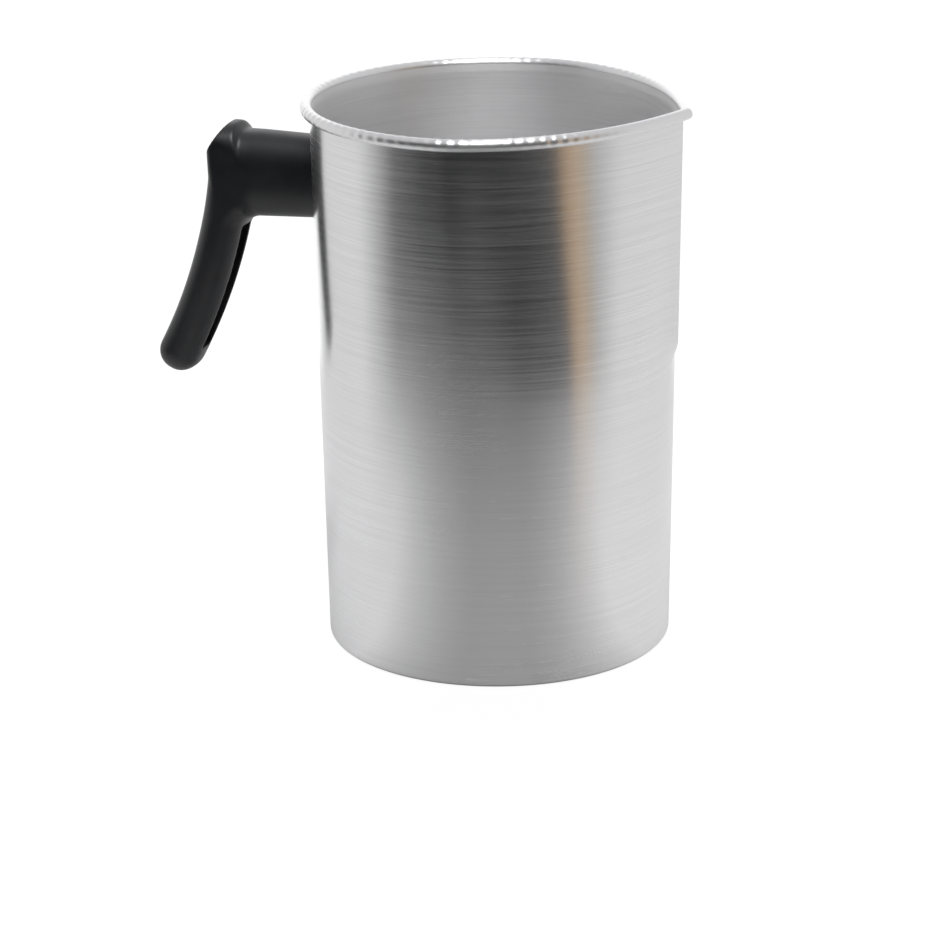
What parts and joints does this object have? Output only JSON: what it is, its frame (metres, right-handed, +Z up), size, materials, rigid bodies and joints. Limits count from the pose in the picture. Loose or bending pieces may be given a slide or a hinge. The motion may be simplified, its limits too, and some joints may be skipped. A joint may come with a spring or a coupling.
{
  "type": "candle melting and pouring pot",
  "caption": "Tall brushed aluminium pouring pot with a rolled rim, a pinched spout and a riveted and screwed black moulded handle, for melting and pouring wax.",
  "frame": {"origin": "on the pot's axis, in the plane that the base stands on", "axes": "+Z up along the pot's axis, +X towards the spout's tip, -X along the handle's arm, +Y across"},
  "size_m": [0.2159, 0.1474, 0.213],
  "materials": {
    "vessel": "brushed round the pot, inside and out",
    "handle": "black phenolic moulding with a soft sheen",
    "rivet": "plain cold-formed",
    "steel": "zinc plated"
  },
  "bodies": {
    "root": {"vessel": "vessel", "handle": "handle", "handle_bracket": "steel", "rivet_upper": "rivet", "rivet_lower": "rivet", "bracket_nut": "steel", "handle_screw": "steel", "flat_washer": "steel", "spring_washer": "steel"}
  },
  "joints": []
}
